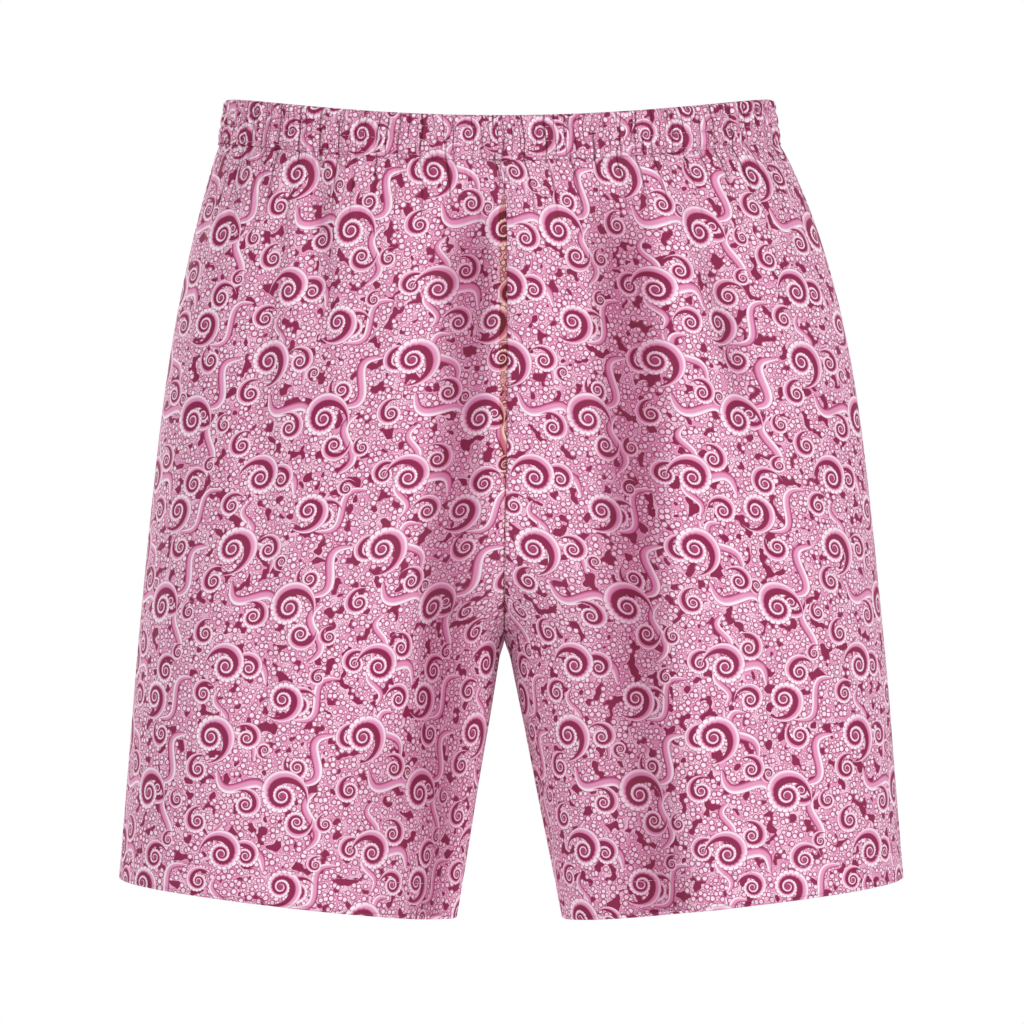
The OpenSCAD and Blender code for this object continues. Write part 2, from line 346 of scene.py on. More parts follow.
def sheet_piece(name, outer, inner, uv, materials, uv_next=None):
    """A closed thin sheet between an outer and an inner grid of points. uv_next, for a ring, gives
    the right-hand corner of each cell its own place on the cloth, and joins the last column to the
    first."""
    rows, cols = outer.shape[:2]
    count = rows * cols
    wrap = uv_next is not None
    fr, fc = grid_faces(rows, cols, wrap)
    front = fr * cols + fc % cols
    back = (front + count)[:, ::-1]
    if wrap:
        corner_uv = np.stack([uv[fr[:, 0], fc[:, 0]], uv_next[fr[:, 1], fc[:, 0]],
                              uv_next[fr[:, 2], fc[:, 0]], uv[fr[:, 3], fc[:, 3]]], axis=1)
    else:
        corner_uv = uv[fr, fc]
    normal = np.cross(outer[1:, :-1] - outer[:-1, :-1], outer[:-1, 1:] - outer[:-1, :-1])
    outwards = np.sum(normal * (outer - inner)[:-1, :-1]) < 0
    c = np.arange(cols if wrap else cols - 1)
    edges = [(r * cols + c, r * cols + (c + 1) % cols, uv[r, c], r == 0) for r in (0, rows - 1)]
    if not wrap:
        r = np.arange(rows - 1)
        edges += [(r * cols + c, (r + 1) * cols + c, uv[r, c], c > 0) for c in (0, cols - 1)]
    faces, uvs = [front, back], [corner_uv, corner_uv[:, ::-1]]
    kinds = [np.zeros(len(front)), np.ones(len(back))]
    for a, b, at, flip in edges:
        quad = np.stack([a, b, b + count, a + count], axis=1)
        faces.append(quad[:, ::-1] if flip else quad)
        uvs.append(np.repeat(at[:, None], 4, axis=1))
        kinds.append(np.zeros(len(quad)))
    faces = np.concatenate(faces)
    uvs = np.concatenate(uvs)
    if not outwards:
        faces, uvs = faces[:, ::-1], uvs[:, ::-1]
    points = np.concatenate([outer.reshape(-1, 3), inner.reshape(-1, 3)])
    return mesh_object(name, points, faces, uvs, np.concatenate(kinds), materials)


# ---------------------------------------------------------------- node materials


def arithmetic(name, swapped=False):
    """A method of Val that adds the maths node of this name."""
    return lambda a, b: a.net.math(name, *((b, a) if swapped else (a, b)))


class Val:
    """A number in a node tree, so that shader maths reads as ordinary arithmetic."""

    def __init__(self, net, socket):
        self.net = net
        self.socket = socket

    __add__ = __radd__ = arithmetic("ADD")
    __sub__ = arithmetic("SUBTRACT")
    __rsub__ = arithmetic("SUBTRACT", swapped=True)
    __mul__ = __rmul__ = arithmetic("MULTIPLY")
    __truediv__ = arithmetic("DIVIDE")
    __gt__ = arithmetic("GREATER_THAN")
    __lt__ = arithmetic("LESS_THAN")


class Net:
    """Adds nodes to one material's tree."""

    def __init__(self, tree):
        self.tree = tree

    def node(self, kind, inputs=None, **settings):
        """Adds a node with these settings. inputs has its sockets' values, by name or number."""
        made = self.tree.nodes.new("ShaderNode" + kind)
        for key, value in settings.items():
            setattr(made, key, value)
        for key, value in (inputs or {}).items():
            self.put(made.inputs[key], value)
        return made

    def put(self, socket, value):
        if isinstance(value, Val):
            value = value.socket
        if isinstance(value, bpy.types.NodeSocket):
            self.tree.links.new(value, socket)
        elif value is not None:
            socket.default_value = value

    def math(self, name, *values):
        return Val(self, self.node("Math", dict(enumerate(values)), operation=name).outputs[0])

    def step(self, low, high, x):
        """Smooth step of x from 0 at low to 1 at high."""
        inputs = {"Value": x, "From Min": low, "From Max": high}
        made = self.node("MapRange", inputs, interpolation_type="SMOOTHSTEP")
        return Val(self, made.outputs["Result"])

    def range(self, x, low, high):
        """Maps x from 0..1 to low..high."""
        return x * (high - low) + low

    def vector(self, x, y, z=0.0):
        return self.node("CombineXYZ", {"X": x, "Y": y, "Z": z}).outputs[0]

    def split(self, socket):
        return [Val(self, out) for out in self.node("SeparateXYZ", {"Vector": socket}).outputs]

    def white(self, x, y):
        """Three random numbers for the cell x, y."""
        made = self.node("TexWhiteNoise", {"Vector": self.vector(x, y)}, noise_dimensions="2D")
        return self.split(made.outputs["Color"])

    def noise(self, vector, scale, detail=2.0, rough=0.5):
        inputs = {"Vector": vector, "Scale": scale, "Detail": detail, "Roughness": rough}
        return Val(self, self.node("TexNoise", inputs, noise_dimensions="2D").outputs[0])

    def voronoi(self, vector, scale, feature="F1", jitter=1.0):
        inputs = {"Vector": vector, "Scale": scale, "Randomness": jitter}
        return self.node("TexVoronoi", inputs, voronoi_dimensions="2D", feature=feature)

    def ramp(self, x, stops):
        """A colour for x, from (position, colour) stops."""
        made = self.node("ValToRGB", {0: x})
        elements = made.color_ramp.elements
        while len(elements) < len(stops):
            elements.new(1.0)
        for element, (position, colour) in zip(elements, stops):
            element.position = position
            element.color = (*colour, 1.0)
        return made.outputs[0]

    def blend(self, factor, a, b, mode="MIX"):
        a, b = ((*value, 1.0) if isinstance(value, tuple) else value for value in (a, b))
        return self.node("Mix", {0: factor, 6: a, 7: b}, data_type="RGBA", blend_type=mode).outputs[2]

    def attribute(self, name):
        return Val(self, self.node("Attribute", attribute_name=name).outputs["Fac"])

    def bump(self, height, distance, normal=None):
        inputs = {"Strength": 1.0, "Distance": distance, "Height": height, "Normal": normal}
        return self.node("Bump", inputs).outputs[0]

    def shade(self, **inputs):
        """Adds the surface shader. The names of its inputs have _ for each space."""
        inputs = {name.replace("_", " "): value for name, value in inputs.items()}
        self.node("OutputMaterial", {"Surface": self.node("BsdfPrincipled", inputs).outputs[0]})


def linear(r, g, b):
    """A colour given as 0-255 screen values, in linear light."""
    return tuple(((c / 255 + 0.055) / 1.055) ** 2.4 if c > 10 else c / 255 / 12.92 for c in (r, g, b))


GAP_PINK = linear(136, 34, 74)
DEEP = linear(166, 64, 110)
ROSE = linear(200, 102, 149)
MID = linear(221, 146, 184)
LIGHT = linear(234, 188, 212)
PALE = linear(243, 229, 238)
REVERSE = linear(243, 226, 234)
# painted shade for the valleys of the gathers
TUCK_SHADE = linear(122, 30, 66)
# painted shade for the hollows of the folds
HOLLOW_SHADE = linear(206, 172, 188)
# painted shadow for the strip under the lap of the front rise seam
LAP_SHADE = linear(245, 238, 206)
SEAM_THREAD = linear(132, 38, 42)
OVERLOCK_THREAD = linear(250, 240, 246)
RUBBER, RUBBER_RIB, GRIME = linear(240, 238, 232), linear(214, 211, 204), linear(222, 214, 204)

REPEAT = (101.0, 121.0)  # how far across and up the print's random numbers repeat
SHRINK = 0.43  # how much a curl's radius shrinks in one turn
TAIL = 0.92  # turns of open arm outside the curl
BEADS = 17.0  # suckers along one turn of a curl
SUCKERS = ((0.4, 0.48, 0.57), (0.22, 0.5, 0.62))  # to the mm, radius in cells, limit of their patches
ARM_LAYERS = (
    dict(cells=(3, 4), offset=(0.2, 0.6), seed=7.0, jitter=0.25, length=13.0, width=2.2, share=0.6),
    dict(cells=(2, 3), offset=(0.7, 0.35), seed=31.0, jitter=0.25, length=20.0, width=3.2, share=1.0),
)
CURL_LAYERS = (
    dict(cells=(3, 4), offset=(0.31, 0.12), seed=3.0, jitter=0.3, radii=(3.6, 4.8), share=0.6),
    dict(cells=(3, 3), offset=(0.62, 0.4), seed=11.0, jitter=0.3, radii=(5.8, 7.4), share=0.9),
    dict(cells=(2, 2), offset=(0.1, 0.77), seed=23.0, jitter=0.3, radii=(9.0, 11.0), share=1.0),
)

# Colours across each motif, from (position, colour) stops
CURL_STOPS = (
    (0.0, ROSE), (0.03, DEEP), (0.06, PALE), (0.25, PALE), (0.32, LIGHT), (0.4, MID),
    (0.48, ROSE), (0.53, DEEP), (0.57, GAP_PINK), (1.0, GAP_PINK),
)
CRADLE_STOPS = (
    (0.0, DEEP), (0.05, LIGHT), (0.12, PALE), (0.2, LIGHT), (0.32, MID), (0.44, MID),
    (0.52, ROSE), (0.57, DEEP), (0.61, GAP_PINK), (1.0, GAP_PINK),
)
SUCKER_STOPS = ((0.0, PALE), (0.52, PALE), (0.64, LIGHT), (0.73, DEEP), (0.9, DEEP), (1.0, MID))
ARM_STOPS = (
    (0.0, GAP_PINK), (0.1, DEEP), (0.18, ROSE), (0.34, MID), (0.56, MID), (0.68, LIGHT),
    (0.8, PALE), (0.93, PALE), (0.97, DEEP), (1.0, ROSE),
)


def cell_grid(net, x, y, cells, offset, seed, jitter):
    """A grid of cells with every second column half a cell higher. Its random numbers repeat with
    REPEAT, so an odd number of columns repeats in full every second time across. Gives the place
    from a random point in the cell and four random numbers."""
    wide, high = REPEAT[0] / cells[0], REPEAT[1] / cells[1]
    u = x / wide + offset[0]
    iu = net.math("FLOOR", u)
    v = y / high + offset[1] + net.math("FLOORED_MODULO", iu, 2.0) * 0.5
    iv = net.math("FLOOR", v)
    wu = net.math("FLOORED_MODULO", iu, cells[0])
    wv = net.math("FLOORED_MODULO", iv, cells[1])
    r0, r1, r2 = net.white(wu + seed, wv + 3.7 * seed)
    r3, r4, r5 = net.white(wu + 5.3 * seed, wv + seed + 0.5)
    dx = (u - iu - 0.5 - (r0 - 0.5) * jitter) * wide
    dy = (v - iv - 0.5 - (r1 - 0.5) * jitter) * high
    return dx, dy, (r2, r3, r4, r5)


def curl_layer(net, x, y, radii, share, **grid):
    """One curled arm in each cell: a tapering spiral with a beaded outer edge, which opens into a
    smooth band round it. Gives where it is, how far across its arm a point is, the bead's phase,
    the spiral's middle and how far the arm has become the smooth band."""
    dx, dy, (size, hand, start, present) = cell_grid(net, x, y, **grid)
    dx = dx * net.math("SIGN", hand - 0.5)
    radius = net.range(size, *radii)
    rho = net.math("SQRT", dx * dx + dy * dy)
    turn = net.math("FRACT", net.math("ARCTAN2", dy, dx) / (2 * math.pi) + start + 1.0)
    along = net.math("LOGARITHM", net.math("MAXIMUM", rho, 0.05) / radius, SHRINK) - turn
    coil = net.math("FLOOR", along)
    across = along - coil
    bead = net.math("FRACT", (turn + coil) * BEADS) - 0.5
    scallop = 1.0 - net.math("SQRT", net.math("MAXIMUM", 1.0 - 4.0 * bead * bead, 0.0))
    cradle = net.step(0.28, 0.48, 1.0 - turn) * (coil < -0.5)
    ending = net.step(0.5, TAIL, 1.0 - turn) * (coil < -0.5)
    inset = 0.1 * scallop * (1.0 - cradle) + 0.3 * ending
    edge = (across - inset) * (1.0 + 0.3 * cradle) / (1.001 - ending)
    there = (edge > 0.0) * (along > -1.0) * (present < share) * (across + 0.72 * ending < 1.0)
    core = rho / radius < 0.19
    return there, edge, bead, core, cradle


def arm_layer(net, x, y, length, width, share, **grid):
    """One S-shaped arm in each cell, tapering to both ends. Gives where it is and how far across."""
    dx, dy, (size, way, bend, present) = cell_grid(net, x, y, **grid)
    angle = way * (2 * math.pi)
    c, s = net.math("COSINE", angle), net.math("SINE", angle)
    a = (dx * c + dy * s) / length
    b = dy * c - dx * s
    swing = net.range(bend, 0.25, 0.42) * length
    slope = net.math("COSINE", a * math.pi) * swing * (math.pi / length)
    off = (b - net.math("SINE", a * math.pi) * swing) / net.math("SQRT", slope * slope + 1.0)
    body = net.math("SQRT", net.math("MAXIMUM", 1.0 - a * a, 0.0)) * width * net.range(size, 0.8, 1.15)
    there = (net.math("ABSOLUTE", off) < body) * (net.math("ABSOLUTE", a) < 1.0) * (present < share)
    return there, 0.5 - 0.5 * off / body


def suckers(net, flat, scale, reach):
    """Round pebbles with dark outlines. Gives their colour, where they are, and each one's middle."""
    cell = net.voronoi(flat, scale, jitter=0.8)
    rim = Val(net, net.voronoi(flat, scale, "DISTANCE_TO_EDGE", 0.8).outputs["Distance"])
    middle = Val(net, cell.outputs["Distance"])
    tone, size, _ = net.split(cell.outputs["Color"])
    near = middle / (reach * net.range(size, 0.72, 1.05))
    spot = net.ramp(near, SUCKER_STOPS)
    spot = net.blend(net.step(0.09, 0.05, rim), spot, DEEP)
    return net.blend(tone * 0.45, spot, LIGHT, "MULTIPLY"), near < 1.0, cell.outputs["Position"]


def print_colour(net, x, y):
    """The all-over print: curled arms, S-shaped arms and round suckers on a deep ground.
    x and y are places on the flat cloth, in millimetres."""
    flat = net.vector(x, y)
    # The ground: light and mid patches with deep ones among them
    base = net.blend(net.step(0.42, 0.54, net.noise(flat, 0.09, 1.0)), LIGHT, MID)
    base = net.blend(net.step(0.61, 0.615, net.noise(flat, 0.12, 1.0)), base, GAP_PINK)
    # Suckers in patches, the large ones over the small, then arms, then curls over all
    for scale, reach, shown in SUCKERS:
        spot, there, place = suckers(net, flat, scale, reach)
        base = net.blend(there * (net.noise(place, 0.12, 1.0) < shown), base, spot)
    for layer in ARM_LAYERS:
        there, across = arm_layer(net, x, y, **layer)
        base = net.blend(there, base, net.ramp(across, ARM_STOPS))
    for layer in CURL_LAYERS:
        there, edge, bead, core, cradle = curl_layer(net, x, y, **layer)
        colour = net.blend(cradle, net.ramp(edge, CURL_STOPS), net.ramp(edge, CRADLE_STOPS))
        gaps = net.step(0.38, 0.46, net.math("ABSOLUTE", bead)) * net.step(0.26, 0.14, edge)
        colour = net.blend(gaps * (1.0 - cradle) * 0.85, colour, ROSE)
        colour = net.blend(core, colour, DEEP)
        base = net.blend(there, base, colour)
    return base


def new_material(name):
    material = bpy.data.materials.new(name)
    material.use_nodes = True
    material.node_tree.nodes.clear()
    return material, Net(material.node_tree)


def cloth_place(net):
    """Places on the flat cloth in millimetres: across, and up."""
    uv = net.node("UVMap", uv_map="cloth")
    u, v, _ = net.split(uv.outputs[0])
    return u * 1000.0, v * 1000.0


def weave(net, x, y):
    """Height of a plain weave: threads that pass over and under each other."""
    turns = math.pi / THREAD_PITCH
    over = net.math("SINE", x * turns) * net.math("SINE", y * turns)
    return over * 0.5 + 0.5


def creases(net, x, y):
    """Soft creases that run down from the gathers, and how near the waist each place is."""
    streaks = net.noise(net.vector(x * 0.3, y * 0.02), 1.0, 3.0, 0.6)
    return streaks, net.step(-95.0, -22.0, y)


def valley(net, place, period, seed, width):
    """1 in the valleys of pleats(place, period, seed), and 0 once width up their sides."""
    warp = 0.0
    for size, wave, share in PLEAT_WARPS:
        warp = net.math("SINE", place / (period * wave) + share * seed) * size + warp
    ridge = net.math("ABSOLUTE", net.math("SINE", place * (math.pi / period) + warp))
    return net.step(width, 0.05, ridge)


def gathered(net, x, y):
    """How deep each place lies in the gathers at the waist. The pleats are those of gathers()."""
    place = net.attribute("round_waist")
    uneven = net.noise(net.vector(place * 0.11, y * 0.035), 1.0, 2.0)
    fine = valley(net, place, *FINE_PLEATS, 0.27) * net.step(-44.0, -18.0, y)
    fine = fine * net.step(0.4, 0.56, uneven)
    broad = valley(net, place, *BROAD_PLEATS, 0.2) * net.step(-84.0, -30.0, y)
    broad = broad * net.step(0.62, 0.44, uneven)
    return net.math("MAXIMUM", fine, broad)


def printed_cloth():
    """The printed side. Shade is painted into its colour in its gathers, creases and folds and under
    the lap.
    """
    material, net = new_material("printed_cloth")
    x, y = cloth_place(net)
    colour = print_colour(net, x, y)
    streaks, near_waist = creases(net, x, y)
    # Painted shade: the streaks of the creases near the waist are darkened
    crease_shade = net.step(0.5, 0.34, streaks) * near_waist
    colour = net.blend(crease_shade * 0.22, colour, DEEP, "MULTIPLY")
    tuck = gathered(net, x, y)
    # Painted shade: the colour is darker in the valleys of the gathers at the waist
    colour = net.blend(tuck * 0.8, colour, TUCK_SHADE, "MULTIPLY")
    # Painted shade: the colour is darker in the hollows of the folds
    colour = net.blend(net.attribute("hollow"), colour, HOLLOW_SHADE, "MULTIPLY")
    # Painted shadow: a warm, darker strip on the cloth under the lap of the front rise seam
    lap_shadow_colour = net.blend(0.6, LAP_SHADE, colour, "MULTIPLY")
    lap_shadow_mask = net.step(0.95, 1.05, net.attribute("beside_lap"))
    colour = net.blend(lap_shadow_mask, colour, lap_shadow_colour, "MULTIPLY")
    colour = net.blend(net.noise(net.vector(x, y), 0.012, 2.0) * 0.03, colour, PALE)
    roughness = net.range(net.noise(net.vector(x, y), 0.4, 2.0), 0.55, 0.72)
    threads = net.bump(weave(net, x, y), 0.00006)
    folds = net.bump(streaks * (near_waist * 0.9 + 0.1), 0.0016, normal=threads)
    net.shade(Base_Color=colour, Roughness=roughness, Specular_IOR_Level=0.06, Sheen_Weight=0.04,
              Sheen_Tint=(*LIGHT, 1.0), Sheen_Roughness=0.45,
              Normal=net.bump(1.0 - tuck, 0.0002, normal=folds))
    return material


def reverse_cloth():
    """The unprinted side: white cloth with the print showing faintly through."""
    material, net = new_material("reverse_cloth")
    x, y = cloth_place(net)
    through = net.blend(0.16, REVERSE, print_colour(net, x, y))
    cloudy = net.noise(net.vector(x, y), 0.05, 3.0)
    net.shade(Base_Color=net.blend(cloudy * 0.12, through, LIGHT),
              Roughness=net.range(cloudy, 0.7, 0.86), Specular_IOR_Level=0.2, Sheen_Weight=0.15,
              Normal=net.bump(weave(net, x, y), 0.00007))
    return material


def overlocked():
    """A seam allowance: two layers of cloth with overlock thread looped over them, and the dark
    line of the seam in the middle. x is the distance across from the seam."""
    material, net = new_material("overlocked")
    x, y = cloth_place(net)
    off = net.math("ABSOLUTE", x)
    zig = net.math("PINGPONG", y + off * 0.35, 1.1)
    loop = net.step(0.62, 0.38, zig)
    across = net.step(5.6, 5.2, off) * net.step(1.2, 1.6, off)
    thread = loop * across
    speck = net.noise(net.vector(x, y), 0.6, 2.0)
    colour = net.blend(speck * 0.25, REVERSE, LIGHT)
    colour = net.blend(thread, colour, net.blend(speck, OVERLOCK_THREAD, PALE))
    seam = net.step(0.55, 0.35, off)
    colour = net.blend(seam, colour, net.blend(loop * 0.5, SEAM_THREAD, MID))
    net.shade(Base_Color=colour, Roughness=net.range(speck, 0.65, 0.85), Sheen_Weight=0.2,
              Normal=net.bump(thread + weave(net, x, y) * 0.2, 0.0004))
    return material


def elastic_material():
    """Knitted elastic: close ribs down it and rubber threads along it. It uses object places,
    because the solid has no UV map."""
    material, net = new_material("knitted_elastic")
    coords = net.node("TexCoord")
    px, py, pz = net.split(coords.outputs["Object"])
    ribs = net.math("SINE", (px + py) * 2400.0) * 0.5 + 0.5
    cords = net.math("SINE", pz * 3100.0) * 0.5 + 0.5
    grime = net.noise(net.vector(px, pz), 140.0, 3.0)
    colour = net.blend(ribs * 0.35, RUBBER, RUBBER_RIB)
    net.shade(Base_Color=net.blend(grime * 0.2, colour, GRIME), Roughness=net.range(cords, 0.6, 0.82),
              Normal=net.bump(ribs * 0.6 + cords * 0.4, 0.0003))
    return material


def thread_material():
    """Polyester thread dyed to match, two strands twisted together."""
    material, net = new_material("sewing_thread")
    x, y = cloth_place(net)
    twist = net.math("SINE", (x + y * 1.6) * 9.0) * 0.5 + 0.5
    speck = net.noise(net.vector(x, y), 0.35, 2.0)
    colour = net.blend(twist * 0.5, MID, ROSE)
    net.shade(Base_Color=net.blend(speck * 0.4, colour, LIGHT), Roughness=net.range(speck, 0.4, 0.6),
              Sheen_Weight=0.1, Normal=net.bump(twist, 0.00012))
    return material


PRINTED = printed_cloth()
REVERSE_SIDE = reverse_cloth()
OVERLOCKED = overlocked()
ELASTIC = elastic_material()
THREAD = thread_material()


# ---------------------------------------------------------------- pieces

SIDES = {"left": LEFT, "right": RIGHT}
FACES = {"front": FRONT, "back": BACK}
PANEL_COLUMNS = 168
HEM_COLUMNS, HEM_STITCH_COLUMNS = 230, 220  # on each face of a leg
PRINT_START = {(FRONT, LEFT): 37.0, (FRONT, RIGHT): 64.0, (BACK, LEFT): 87.0, (BACK, RIGHT): 14.0}
WAIST_COLUMNS = 262  # in each quarter of the waistband
FULLNESS = 0.12  # extra cloth in the gathers, as a share of the waist
CASING_DEPTH = 4.4
TOP_DROP = 1.1  # how much lower than in CAD the worn waistband's top edge lies
ROLL = 1.1  # radius of the fold at the hem
HEM_JOIN = 1.0  # how far above the middle of that fold the panels end
LAY = 0.3  # clearance between two cloths that lie together
SEAM_HALF, SEAM_COLUMNS = 6.0, 15  # half the width of a seam allowance, and columns across it
LEVEL_LENGTH = 330.0  # of a seam allowance from one level to the next, roughly
STITCH_LENGTH, STITCH_SPACE, STITCH_RADIUS = 2.6, 0.7, 0.24
STITCH_SHARES = np.array([0.0, 0.14, 0.5, 0.86, 1.0])  # places along a stitch,
STITCH_THICK = np.array([0.3, 0.9, 1.0, 0.9, 0.3])  # how thick it is there
STITCH_LIFT = np.array([-0.25, 0.06, 0.14, 0.06, -0.25])  # and how far off the cloth
STRAND_SIDES = 6


def fullness(v):
    """Length of the flat cloth at a level, as a share of the worn length."""
    return 1.0 + FULLNESS * np.exp(-np.clip(v, 0.0, None) * CROTCH_DROP / 60.0)


def bending(name):
    """The CAD nodes of a piece that reaches from the hips down a leg."""
    return [f"{name}_{part}" for part in ("hip", "bend", "leg")]


def ride(piece, body, slot, *nodes):
    """Fixes a piece to one body. nodes are the CAD nodes it stands for."""
    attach(piece, body)
    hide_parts(*nodes)


def hang(piece, side, slot, *nodes):
    """Bakes a piece's place into its mesh and hides the CAD nodes it stands for."""
    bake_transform(piece)
    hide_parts(*nodes)


def run_along(steps):
    """How far along each point lies, from the lengths of the steps between them."""
    return np.concatenate([[0.0], np.cumsum(steps)])


def print_places(side, face, across, up):
    """Places on the flat cloth: across is the length from the side seam, up the height."""
    u = PRINT_START[face, side] - side * face * across
    return np.stack(np.broadcast_arrays(u, up), axis=-1)


def point_values(piece, name, grid):
    """Gives a sheet_piece a number at each point, the same on its outer and inner face."""
    layer = piece.data.attributes.new(name, "FLOAT", "POINT")
    layer.data.foreach_set("value", np.tile(grid.ravel(), 2).astype(np.float32))


def panel(face_name, side_name):
    """A quarter of the shorts, from the foot of the waistband to the roll of the hem."""
    face, side = FACES[face_name], SIDES[side_name]
    hem_end = HEM - (ROLL + HEM_JOIN) / LEG_MEAN
    levels = np.concatenate([
        np.linspace(-0.08, 0.0, 3)[:-1],
        np.linspace(0.0, 0.1, 24)[:-1],
        np.linspace(0.1, 1.0, 134)[:-1],
        np.linspace(1.0, hem_end, 82),
    ])
    v = levels[:, None]
    edge = GAP / 2 / depth_at(0.0, v, face)
    lap = lapped(v) * (LAP if side == LEFT else -UNDER_LAP) / half_width(outline_height(0.0, v, face))
    phi = edge + np.linspace(0.0, 1.0, PANEL_COLUMNS) * (last_phi(v) - 2 * edge + lap * (face == FRONT))
    outer = cloth(side, face, phi, v)
    inner = cloth(side, face, phi, v, CLOTH)
    across = arc_from_side(face, phi, v) * fullness(v)
    uv = print_places(side, face, across, height(phi, v, face))
    name = f"{face_name}_{side_name}_panel"
    piece = sheet_piece(name, outer, inner, uv, [PRINTED, REVERSE_SIDE])
    point_values(piece, "hollow", hollow_of(side, face, phi, v))
    point_values(piece, "round_waist", round_waist(side, face, phi))
    point_values(piece, "beside_lap", beside_lap(side, face, phi, v))
    hang(piece, side_name, "printed_cloth", *bending(name))


def waist_columns(per_quarter):
    """Side, face and phi of columns right round the waist, and phi one step further on."""
    step = np.pi / 2 / per_quarter
    q = (np.arange(per_quarter) + 0.5) * step
    return ((LEFT, FRONT, q, step), (RIGHT, FRONT, q[::-1], -step),
            (RIGHT, BACK, q, step), (LEFT, BACK, q[::-1], -step))


def drifted(s, h):
    """Place round the waist whose gather reaches place s, share h down the waistband."""
    return s + 1.2 * np.sin(h * 5.0 + s / 17.0) * (1.0 - h)


def band_out(s, h):
    """How far the waistband's outer wall stands out at place s and share h down from its top. At
    its foot the gathers are those of the cloth below."""
    pinch = np.clip(sum(np.exp(-(((h - row) * BAND_H / 1.3) ** 2)) for row in STITCH_ROWS), 0.0, 1.0)
    puff = 0.6 * (1.0 - pinch) * np.sin(np.pi * np.clip(h, 0.02, 0.98)) ** 0.4
    lift = gathers(drifted(s, h), 0.0 * h)
    return -0.1 + puff + lift * (1.0 - 0.4 * pinch) - 0.5 * (1.0 - h)


def normals_of(grid):
    """Unit normals of a grid that wraps round in its columns."""
    down = np.gradient(grid, axis=0)
    along = (np.roll(grid, -1, axis=1) - np.roll(grid, 1, axis=1)) / 2
    n = np.cross(down, along)
    return n / np.linalg.norm(n, axis=2, keepdims=True)


def casing_rows():
    """The rows of the casing, up the outer wall, over the top and down the inside: how far down the
    waistband each lies, how deep inside the outer wall, and how much of that wall's lift it has."""
    r = CASING_DEPTH / 2
    wall = np.linspace(1.0, r / BAND_H, 30)
    turn = np.linspace(0.0, np.pi, 9)[1:-1]
    inside = np.linspace(r / BAND_H, 0.99, 9)
    h = mix(TOP_DROP / BAND_H, 1.0, np.concatenate([wall, r / BAND_H * (1 - np.sin(turn)), inside]))
    depth = np.concatenate([wall * 0, r - r * np.cos(turn), inside * 0 + CASING_DEPTH])
    outness = np.concatenate([wall * 0 + 1, np.cos(turn) * 0.5 + 0.5, inside * 0])
    return h, depth, outness


def casing():
    """The cloth folded over the elastic."""
    h, depth, outness = casing_rows()
    run = run_along(np.hypot(np.diff(h) * BAND_H, np.diff(depth)))
    grids, uvs, nexts, places = [], [], [], []
    s0 = 0.0
    for side, face, phi, step in waist_columns(WAIST_COLUMNS):
        v = TOP + h[:, None]
        base = surface(side, face, phi, v)
        length = np.linalg.norm(np.diff(base[0], axis=0), axis=1)
        s = s0 + run_along(length)
        s0 = s[-1] + length[-1]
        place = round_waist(side, face, phi)[None]
        places.append(drifted(place, h[:, None]))
        lift = band_out(place, h[:, None])
        weight = outness[:, None]
        inner_lift = 0.35 * pleats(s, *INSIDE_PLEATS) * (depth[:, None] > CASING_DEPTH / 2)
        out = -depth[:, None] + lift * weight - inner_lift * (1 - weight)
        grids.append(surface(side, face, phi, v, out))
        table = np.linspace(-0.02, np.pi / 2 + 0.02, 400)[None]
        lengths = arc_from_side(face, table, table * 0 - 0.5)  # half way down the waistband
        arc = np.interp(np.stack([phi, phi + step]), table[0], lengths[0])
        up = -BAND_H / 2 - DIP[face] * np.sin(phi) ** 2
        for store, a in ((uvs, arc[0]), (nexts, arc[1])):
            store.append(print_places(side, face, a * (1 + FULLNESS), up + run[:, None]))
    outer = np.concatenate(grids, axis=1)
    normal = normals_of(outer)
    if np.sum(normal[5] * outer[5]) < 0:
        normal = -normal
    inner = outer - normal * CLOTH
    piece = sheet_piece("waistband_cloth", outer, inner, np.concatenate(uvs, axis=1),
                        [PRINTED, REVERSE_SIDE], uv_next=np.concatenate(nexts, axis=1))
    point_values(piece, "round_waist", np.concatenate(places, axis=1))
    ride(piece, "seat", "waistband_cloth", "waistband_casing")


